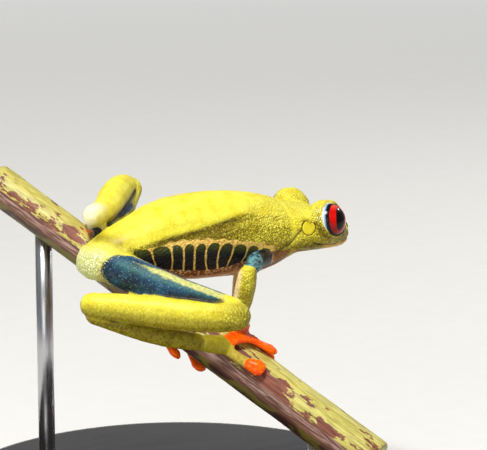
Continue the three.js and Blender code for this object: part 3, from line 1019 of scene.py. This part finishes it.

# %% [markdown]
# ## The skin's finish
# Up close the back is lime yellow with fine grains like shagreen leather, with painted highlights on the grains and
# painted shade between them. Below the fold on the flank it turns olive, partly its own colour and partly painted
# shade.
# The flank is cream with dark round-topped panels, the thighs are blue with one pale stripe, and the hands and feet
# are a wet orange. The finish lays these over one another in that order, and lets noise wander over each edge so that
# none looks cut with scissors.

# %% Ground colours and grains
hide = Finish("frog_skin", roughness=0.45, specular=0.2, coat=0.05, coat_roughness=0.2)
wander = hide.minus(hide.noise(1.5, 3.0), 0.5)
mottle = hide.noise(2.8, 4.0)
fine = hide.noise(0.5, 3.0)
GRAIN_MM = 0.46
grain = hide.cells(GRAIN_MM)
grain_edge = hide.cells(GRAIN_MM, feature="DISTANCE_TO_EDGE")
grain_kind = hide.cells(GRAIN_MM, output="Color")
grainy = hide.field("grainy")


def wavering(field, by):
    """A field of the skin, with noise wandering over its edge."""
    return hide.plus(hide.field(field), hide.times(wander, by))


lime = hide.two_tone(mottle, 0.35, 0.7, (244, 234, 76), (230, 212, 42))
hide.ground = hide.mix(hide.step(fine, 0.55, 0.8, 0.0, 0.3), lime, tint(248, 244, 88))
olive_green = hide.two_tone(fine, 0.35, 0.65, (94, 78, 0), (134, 114, 4))
# Dark speckles on the grains, partly their own colour and partly painted shade, less where the skin faces up.
speckled = hide.times(hide.step(grain_kind, 0.42, 0.62), hide.times(hide.field("uneven"), 0.36))
# The olive layer is partly the skin's own colour and partly painted shade.
olive = hide.plus(hide.field("olive"), speckled)
olive = hide.plus(olive, hide.times(wander, hide.times(hide.field("olive"), 0.5)))
hide.lay(olive, olive_green)
# Painted shade in the gaps between the grains.
between_grains = hide.times(hide.step(grain_edge, 0.16, 0.02), hide.times(hide.field("uneven"), 0.95))
hide.lay(between_grains, tint(120, 104, 14))
lit_grains = hide.times(hide.step(grain, 0.3, 0.12), hide.times(grainy, 0.42))
hide.lay(lit_grains, tint(255, 246, 104))
print("ground colour mixed")

# %% Flank colours
flank_edge = hide.over(wavering("flank", 0.8), 0.05)
cream = hide.two_tone(fine, 0.3, 0.7, (214, 170, 74), (238, 202, 104))
hide.lay(flank_edge, cream)
to_bar = hide.times(hide.reckon("PINGPONG", hide.field("bar_count"), 0.5), hide.field("bar_gap"))
panel = hide.reckon("SMOOTH_MIN", hide.minus(to_bar, 0.2), hide.field("panel_top"), 1.9)
panel = hide.reckon("SMOOTH_MIN", hide.plus(panel, 0.03), hide.field("panel_foot"), 0.3)
panel = hide.over(hide.plus(panel, hide.times(wander, 0.3)), 0.06)
panel = hide.times(panel, hide.over(hide.field("flank"), 0.1))
dark = hide.two_tone(hide.field("panel_top"), 2.3, 0.1, (12, 13, 16), (70, 74, 14))
dark = hide.mix(hide.step(mottle, 0.5, 0.75, 0.0, 0.45), dark, tint(18, 42, 58))
hide.lay(panel, dark)
belly = hide.over(wavering("belly", 0.6), 0.12)
belly = hide.times(belly, hide.step(hide.field("body"), 0.4, 0.6))
brown = hide.two_tone(fine, 0.3, 0.7, (112, 58, 18), (146, 88, 34))
dots = hide.times(hide.step(hide.cells(0.6), 0.42, 0.3), hide.step(hide.field("belly"), 1.5, 0.2, 0.35, 1.0))
brown = hide.mix(dots, brown, tint(236, 202, 146))
pale_belly = hide.step(hide.field("belly"), 1.2, 2.4)
brown = hide.mix(pale_belly, brown, tint(206, 160, 108))
chest = hide.two_tone(fine, 0.3, 0.7, (120, 78, 22), (152, 104, 40))
brown = hide.mix(hide.field("breast"), brown, chest)
hide.lay(belly, brown)
hide.lay(hide.field("throat"), chest)
print("flank colours mixed")

# %% Thigh and arm colours
sea = hide.two_tone(mottle, 0.35, 0.65, (26, 70, 102), (22, 36, 58))
sea = hide.mix(hide.step(fine, 0.5, 0.8, 0.0, 0.45), sea, tint(84, 138, 150))
sea = hide.mix(hide.times(hide.field("teal"), 0.6), sea, tint(58, 116, 106))
sea = hide.mix(hide.step(grain, 0.32, 0.14, 0.0, 0.4), sea, tint(120, 168, 172))
sea = hide.mix(hide.times(hide.field("lit_edge"), 0.7), sea, tint(132, 160, 196))
lit_stripe = hide.two_tone(fine, 0.3, 0.7, (186, 190, 106), (226, 224, 138))
patchy = hide.times(hide.minus(hide.noise(1.1, 4.0), 0.5), 1.5)
stripe = hide.step(hide.plus(hide.field("stripe"), patchy), -0.25, 0.5, 0.0, 0.92)
sea = hide.mix(stripe, sea, lit_stripe)
hide.lay(hide.over(wavering("blue", 1.6), 0.4), sea)
blue_edge = hide.times(hide.step(hide.field("blue"), 0.95, 0.1), hide.step(grain, 0.42, 0.2))
hide.lay(hide.times(blue_edge, hide.step(hide.field("rump_side"), 0.3, 0.7)), tint(206, 214, 150))
rump = hide.two_tone(grain, 0.15, 0.5, (250, 254, 210), (206, 208, 130))
rump_share = hide.times(hide.field("rump"), hide.step(hide.field("blue"), 0.1, -0.2))
hide.lay(rump_share, rump)
streaks = hide.noise(0.4, 3.0, hide.stretched((2.5, 2.5, 1.0)))
teal = hide.two_tone(streaks, 0.35, 0.65, (30, 60, 70), (104, 156, 160))
hide.lay(hide.step(hide.field("upper_arm"), 0.35, 0.65), teal)
# The armpit's dark grey mottle is partly the skin's pattern and partly painted shade under the arm.
soot = hide.two_tone(grain, 0.25, 0.1, (30, 28, 26), (130, 128, 112))
soot = hide.mix(hide.step(mottle, 0.45, 0.7, 0.0, 0.6), soot, tint(112, 90, 70))
hide.lay(hide.step(hide.field("armpit"), 0.35, 0.55), soot)
hide.lay(hide.step(hide.field("chest_edge"), 0.4, 0.6), tint(168, 118, 60))
hide.lay(hide.field("pale_edge"), tint(250, 226, 160))
# The left heel's pale cream, with painted light on its upper side.
hide.lay(hide.field("heel"), hide.mix(fine, tint(232, 226, 170), tint(250, 246, 214)))
# Painted shade in the gap between the left heel and the back.
hide.lay(hide.step(hide.field("groove"), 0.35, 0.65, 0.0, 0.9), tint(18, 26, 40))
print("thigh and arm colours mixed")

# %% Orange hands and feet
flame = hide.two_tone(mottle, 0.35, 0.65, (255, 100, 0), (244, 70, 0))
flame = hide.mix(hide.step(fine, 0.5, 0.75, 0.0, 0.5), flame, tint(255, 160, 30))
orange = wavering("orange", 0.5)
hide.lay(hide.step(orange, 0.4, 0.6), flame)
outer = hide.two_tone(fine, 0.3, 0.7, (158, 132, 38), (196, 172, 78))
hide.lay(hide.step(hide.field("outer_toe"), 0.3, 0.7, 0.0, 0.7), outer)
print("orange laid on")

# %% Lids, lips, nostrils and ears
lid = hide.field("lid")
rear_lid = hide.field("rear_lid")
margin = hide.times(hide.near(hide.minus(lid, 1.3), 1.2, 0.6), hide.step(rear_lid, 0.15, 0.5))
hide.lay(margin, tint(244, 228, 164))
front_rim = hide.times(hide.near(hide.minus(lid, 1.0), 1.6, 1.0), hide.step(rear_lid, 0.3, 0.0))
hide.lay(front_rim, tint(70, 62, 12))
mouth = hide.field("mouth_height")
lip = hide.times(hide.near(hide.plus(mouth, 0.5), 0.36, 0.1), hide.field("lip"))
hide.lay(lip, hide.mix(fine, tint(208, 158, 62), tint(234, 190, 92)))
gape = hide.times(hide.near(mouth, 0.13, 0.08), hide.field("mouth_reach"))
hide.lay(gape, tint(46, 38, 6))
nostril = hide.field("nostril")
# A painted highlight on the nostril's rim, and painted shade in its pit.
hide.lay(hide.near(hide.minus(nostril, 0.72), 0.2, 0.12), tint(244, 232, 110))
hide.lay(hide.step(nostril, 0.5, 0.38), tint(14, 12, 6))
ear = hide.field("ear")
drum = hide.step(ear, EARDRUM_RADIUS + 0.02, EARDRUM_RADIUS - 0.05)
hide.lay(hide.times(drum, 0.8), hide.mix(mottle, tint(224, 204, 26), tint(236, 218, 44)))
ring = hide.times(hide.near(hide.minus(ear, EARDRUM_RADIUS), 0.08, 0.06), hide.step(mottle, 0.3, 0.5, 0.55, 1.0))
hide.lay(ring, tint(30, 26, 6))
hide.lay(hide.times(hide.near(hide.field("ear_fold"), 0.16, 0.14), 0.85), tint(40, 34, 6))
# Painted shadow of the lid: a dark line along the fold under the eye.
hide.lay(hide.times(hide.near(hide.field("lid_fold"), 0.15, 0.3), 0.55), tint(58, 48, 6))
# Painted shade: the creases between folded limbs are darkened.
hide.lay(hide.step(hide.field("crease"), 0.35, 0.8, 0.0, 0.85), tint(30, 28, 10))
pearls = hide.times(hide.step(grain, 0.4, 0.2), hide.times(hide.field("pearly"), 0.9))
hide.lay(pearls, tint(240, 252, 206))
print("head details mixed")

# %% Grains, wrinkles and shine
grains = hide.times(hide.minus(1.0, grain), grainy)
relief = hide.bump(grains, 0.26)
wrinkle = hide.reckon("SINE", hide.plus(hide.times(hide.field("along"), 11.0), hide.times(mottle, 22.0)))
relief = hide.bump(hide.times(wrinkle, hide.field("shank")), 0.03, relief)
relief = hide.bump(fine, 0.035, relief)
wetness = hide.step(hide.field("orange"), 0.3, 0.7, 0.0, 0.2)
gloss = hide.minus(hide.step(fine, 0.3, 0.7, 0.38, 0.54), wetness)
show("frog_skin", skin, hide.done(gloss, relief), FLESH)

# %% [markdown]
# ## Eyes
# A tree frog's eye is a wet ball with a red iris, a tall black pupil and a dark ring where the iris ends, set in a
# pale blue-white. A flat disc of colour would look dead from the side, so each eye is a true ball. Every vertex
# stores two angles from the pupil's middle, across and upright, and the finish draws the pupil and the rings from
# them.

# %% Eyeballs
GAZE = {side: unit(0.35, 0.9 * hand, 0.29) for side, hand in HANDS.items()}
PUPIL_LEAN = math.radians(18)  # the pupil's top leans towards the snout
PUPIL = (21.5, 40.0)  # half the width and half the height, in degrees round the ball
IRIS = (45.0, 55.0)


def eyeball(side):
    """A ball in its socket, with its poles on the line along which the eye looks."""
    ball = bmesh.new()
    bmesh.ops.create_uvsphere(ball, u_segments=96, v_segments=64, radius=EYE_RADIUS)
    gaze = Vector(GAZE[side])
    bmesh.ops.rotate(ball, verts=ball.verts, cent=(0, 0, 0), matrix=gaze.to_track_quat("Z", "Y").to_matrix())
    bmesh.ops.translate(ball, verts=ball.verts, vec=Vector(EYES[side]))
    return settled(ball, f"eyeball_{side}")


def eye_fields(mesh, side):
    """Keeps each vertex's two angles from the pupil's middle."""
    gaze = GAZE[side]
    upright = np.array([0, 0, 1.0]) - gaze * gaze[2]
    upright /= np.linalg.norm(upright)
    forward = np.array([1.0, 0, 0]) - gaze * gaze[0]
    forward -= upright * (forward @ upright)
    forward /= np.linalg.norm(forward)
    tall = upright * math.cos(PUPIL_LEAN) + forward * math.sin(PUPIL_LEAN)
    wide = forward * math.cos(PUPIL_LEAN) - upright * math.sin(PUPIL_LEAN)
    way = (numbers(mesh.vertices, "co") - EYES[side]) / EYE_RADIUS
    angle = np.degrees(np.arccos(np.clip(way @ gaze, -1, 1)))
    reach = np.hypot(way @ tall, way @ wide) + TINY
    keep_fields(mesh, upright=angle * (way @ tall) / reach, across=angle * (way @ wide) / reach)


print("the eyes look along", {side: gaze.round(2) for side, gaze in GAZE.items()})

# %% The eye's finish
wet = Finish("wet_eye", roughness=0.2, specular=0.15, coat=0.16, coat_roughness=0.03)
upright = wet.field("upright")
across = wet.field("across")


def oval(half_width, half_height):
    """1 on an oval round the pupil's middle, less inside."""
    wide = wet.reckon("POWER", wet.reckon("DIVIDE", across, half_width), 2.0)
    tall = wet.reckon("POWER", wet.reckon("DIVIDE", upright, half_height), 2.0)
    return wet.reckon("SQRT", wet.plus(wide, tall))


eye_grain = wet.noise(0.35, 4.0)
red = wet.two_tone(eye_grain, 0.3, 0.7, (226, 20, 4), (186, 8, 2))
# The red is darker towards the bottom, and paler and pinker at the top as a painted sheen of the light from above.
red = wet.mix(wet.step(upright, 0.0, -46.0, 0.0, 0.75), red, tint(110, 4, 2))
wet.ground = wet.mix(wet.step(upright, 26.0, 48.0, 0.0, 0.4), red, tint(250, 110, 90))
ring = oval(*IRIS)
wet.lay(wet.step(ring, 0.97, 1.03), tint(6, 7, 12))
rearward = wet.step(wet.minus(wet.times(upright, 0.4), across), -8.0, 12.0)
pale_rim = wet.two_tone(ring, 1.3, 1.46, (132, 162, 204), (228, 238, 250))
wet.lay(wet.times(wet.step(ring, 1.22, 1.31), rearward), pale_rim)
wet.lay(wet.step(oval(*PUPIL), 1.04, 0.96), tint(3, 3, 4))
eye_finish = wet.done()
for side in HANDS:
    mesh = eyeball(side)
    eye_fields(mesh, side)
    show(f"eyeball_{side}", mesh, eye_finish, [f"eye_{side}"])

# %% [markdown]
# ## The stem
# The perch is a cut length of a fleshy plant stem, a little thicker towards its foot. A plain cylinder would have
# dead straight edges. Here a ring of vertices is drawn out step by step, and each step swells or shrinks by a hair,
# as a grown stem does. The cut ends are inset, so that they show a rind and a paler pith.

# %% The stem's shape
STEM_TOP = Vector((-5.2, 33.1, 8.8))
STEM_FOOT = Vector((41.6, -30.0, -37.3))
STEM_LENGTH = (STEM_FOOT - STEM_TOP).length
STEM_WAY = (STEM_FOOT - STEM_TOP).normalized()
STEM_TURN = STEM_WAY.to_track_quat("Z", "Y")
STEPS = 60
OVERHANG = 0.4  # each cut end stands this far past the measured length
CUT_BEVEL = 0.35
THINNER = 0.06  # the bark lies this far inside the solid
THINNER_TOP = 0.08  # and a little more at the top, to stay inside the solids' box
SWING = 0.03  # how much it swells and shrinks


def stem_radius(along):
    """The solid's radius, which is larger below the middle."""
    return 3.75 + 0.7 * float(ease(np.array(along), 28, 52))


def next_ring(ring, step_up, radius):
    """Draws a ring of edges out by one step and gives it the radius asked for."""
    grown = bmesh.ops.extrude_edge_only(stem, edges=ring)
    corners = [part for part in grown["geom"] if isinstance(part, bmesh.types.BMVert)]
    bmesh.ops.translate(stem, verts=corners, vec=(0, 0, step_up))
    now = sum((Vector((c.co.x, c.co.y, 0)).length for c in corners)) / len(corners)
    bmesh.ops.scale(stem, verts=corners, vec=(radius / now, radius / now, 1))
    return [part for part in grown["geom"] if isinstance(part, bmesh.types.BMEdge) and part.is_boundary]


stem = bmesh.new()
bmesh.ops.create_circle(stem, cap_ends=True, segments=64, radius=stem_radius(0) - CUT_BEVEL)
bmesh.ops.reverse_faces(stem, faces=stem.faces[:])
bmesh.ops.translate(stem, verts=stem.verts, vec=(0, 0, -OVERHANG))
ring = [edge for edge in stem.edges if edge.is_boundary]
ring = next_ring(ring, OVERHANG, stem_radius(0) - THINNER_TOP)
for step in range(1, STEPS + 1):
    along_stem = STEM_LENGTH * step / STEPS
    swell = SWING * math.sin(0.5 * along_stem) + SWING * math.sin(0.23 * along_stem + 1)
    ring = next_ring(ring, STEM_LENGTH / STEPS, stem_radius(along_stem) - THINNER + swell)
ring = next_ring(ring, OVERHANG, stem_radius(STEM_LENGTH) - CUT_BEVEL)
bmesh.ops.contextual_create(stem, geom=ring)
bmesh.ops.recalc_face_normals(stem, faces=stem.faces[:])
for end in (min, max):
    cap = end((face for face in stem.faces if len(face.verts) > 4), key=lambda face: face.calc_center_median().z)
    for width, sink in ((0.5, 0.0), (1.2, -0.15), (1.0, 0.0)):
        bmesh.ops.inset_region(stem, faces=[cap], thickness=width, depth=sink, use_even_offset=True)
bmesh.ops.transform(stem, matrix=Matrix.Translation(STEM_TOP) @ STEM_TURN.to_matrix().to_4x4(), verts=stem.verts)
stem_mesh = settled(stem, "plant_stem")
print(f"stem of {STEM_LENGTH:.1f} mm with {len(stem_mesh.polygons)} faces")

# %% Fields for the bark
STEM_UP = (Vector((0, 0, 1)) - STEM_WAY * STEM_WAY.z).normalized()
STEM_SIDE = STEM_WAY.cross(STEM_UP)
off = numbers(stem_mesh.vertices, "co") - np.array(STEM_TOP)
stem_along = off @ np.array(STEM_WAY)
sideways, upwards = off @ np.array(STEM_SIDE), off @ np.array(STEM_UP)
stem_round = np.degrees(np.arctan2(sideways, upwards))  # 0 on top
stem_round = np.where(stem_round < -110, stem_round + 360, stem_round)
fading = ease(stem_round, 240, 215)  # out where the far side begins
at_cut = np.maximum(ease(stem_along, 0.05, -0.3), ease(stem_along, STEM_LENGTH - 0.05, STEM_LENGTH + 0.3))
keep_fields(
    stem_mesh,
    shaded=ease(stem_round, 66, 84) * fading,
    silver=ridge(stem_round - 88, 9),
    lowest=ease(stem_round, 100, 116) * fading,
    blotchy=0.2 + 0.8 * ridge(stem_round - 60, 30),
    cut=at_cut,
    pith=ease(np.hypot(sideways, upwards), 2.9, 2.3) * at_cut,
)
print(f"bark fields kept on {len(off)} vertices")

# %% [markdown]
# The stem is pale green with ragged maroon blotches, purple on its shaded side and mossy underneath, and its cut ends
# show a paler pith. Noise drawn out along the stem gives blotches and fibres that follow its growth, which round
# noise would not. The sides are told apart by the fields that were just kept.

# %% The stem's finish
bark = Finish("plant_stem", roughness=0.5)
lengthwise = bark.stretched((1, 1, 2.6), STEM_TURN.to_euler())
fibres = bark.stretched((1, 1, 9.0), STEM_TURN.to_euler())
blotch = bark.noise(2.8, 5.0, lengthwise, roughness=0.66)
streak = bark.noise(0.4, 3.0, fibres)
pale_green = bark.two_tone(streak, 0.35, 0.65, (168, 156, 66), (208, 198, 104))
maroon = bark.two_tone(streak, 0.35, 0.65, (98, 42, 30), (138, 76, 52))
share = bark.plus(blotch, bark.times(bark.field("blotchy"), 0.2))
bark.ground = bark.mix(bark.step(share, 0.665, 0.69), pale_green, maroon)
speck = bark.times(bark.step(bark.cells(1.1, lengthwise), 0.24, 0.18), bark.step(blotch, 0.4, 0.5))
bark.lay(speck, maroon)
purple = bark.two_tone(streak, 0.3, 0.7, (86, 42, 32), (140, 94, 70))
edge = bark.plus(bark.field("shaded"), bark.minus(bark.times(blotch, 1.6), 0.8))
bark.lay(bark.step(edge, 0.4, 0.6), purple)
bark.lay(bark.times(bark.field("silver"), bark.step(streak, 0.42, 0.62, 0.1, 0.8)), tint(190, 160, 152))
mossy = bark.two_tone(bark.noise(2.0, 5.0, lengthwise), 0.46, 0.54, (112, 104, 34), (66, 32, 26))
bark.lay(bark.field("lowest"), mossy)
bark.lay(bark.field("cut"), tint(150, 140, 84))
bark.lay(bark.field("pith"), tint(222, 214, 170))
bark_finish = bark.done(bark.step(blotch, 0.4, 0.6, 0.42, 0.6), bark.bump(streak, 0.08))
show("plant_stem", stem_mesh, bark_finish, ["perch_stem"])

# %% [markdown]
# ## The stand
# A plain turned base in black lacquer and two steel rods carry the stem. On a lathe the base would be cut from one
# profile, and Spin does the same: half a cross-section is turned once about the upright axis. Small bevels catch the
# light where a real edge would have been broken with fine paper.

# %% The lacquered base
def turned(profile, name):
    """Spins a profile of (radius, height) corners about the upright axis through the scene's middle."""
    shape = bmesh.new()
    corners = [shape.verts.new((radius, 0, height)) for radius, height in profile]
    edges = [shape.edges.new(pair) for pair in zip(corners, corners[1:])]
    bmesh.ops.spin(
        shape, geom=corners + edges, cent=(0, 0, 0), axis=(0, 0, 1), angle=2 * math.pi, steps=128, use_merge=True
    )
    bmesh.ops.remove_doubles(shape, verts=shape.verts, dist=0.001)
    bmesh.ops.recalc_face_normals(shape, faces=shape.faces[:])
    bmesh.ops.translate(shape, verts=shape.verts, vec=-HIPS)
    return settled(shape, name)


BASE_RADIUS = 45.9
BASE_TOP = 6.0
BASE_FOOT = 0.05
base_mesh = turned(
    [
        (0, BASE_FOOT),
        (BASE_RADIUS - 1.0, BASE_FOOT),
        (BASE_RADIUS - 0.3, 0.3),
        (BASE_RADIUS, 0.9),
        (BASE_RADIUS, BASE_TOP - 1.3),
        (BASE_RADIUS - 0.3, BASE_TOP - 0.55),
        (BASE_RADIUS - 1.1, BASE_TOP - 0.1),
        (BASE_RADIUS - 2.0, BASE_TOP - BOX_MARGIN),
        (0, BASE_TOP - BOX_MARGIN),
    ],
    "lacquered_base",
)
lacquer = Finish("black_lacquer", roughness=0.25, coat=0.6, coat_roughness=0.08)
wood_grain = lacquer.noise(3.0, 4.0, lacquer.stretched((8.0, 1.0, 1.0)))
lacquer.ground = lacquer.two_tone(wood_grain, 0.4, 0.65, (26, 23, 21), (40, 35, 31))
lacquer_finish = lacquer.done(lacquer.step(wood_grain, 0.3, 0.7, 0.22, 0.36), lacquer.bump(wood_grain, 0.02))
show("stand_base_lacquered", base_mesh, lacquer_finish, ["stand_base"])

# %% The steel rods
ROD_RADIUS = 1.6
INTO_STEM = 1.0  # a rod ends inside the stem, so no gap shows
steel = Finish("brushed_steel", roughness=0.3, metallic=1.0)
brushing = steel.noise(0.5, 4.0, steel.stretched((1.0, 1.0, 30.0)))
steel.ground = steel.mix(brushing, tint(172, 173, 176), tint(200, 200, 204))
steel_finish = steel.done(steel.step(brushing, 0.3, 0.7, 0.22, 0.38), steel.bump(brushing, 0.01))
for name in ("stand_rod_rear", "stand_rod_front"):
    low, high = (TO_FROG @ Vector(corner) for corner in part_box(name))
    tall = high.z - low.z + INTO_STEM
    rod = bmesh.new()
    bmesh.ops.create_cone(rod, cap_ends=True, segments=48, radius1=ROD_RADIUS, radius2=ROD_RADIUS, depth=tall)
    middle = (low + high) / 2 + Vector((0, 0, INTO_STEM / 2))
    bmesh.ops.translate(rod, verts=rod.verts, vec=middle)
    show(name + "_brushed", settled(rod, name), steel_finish, [name])

# %% Done
print("both boxes written")
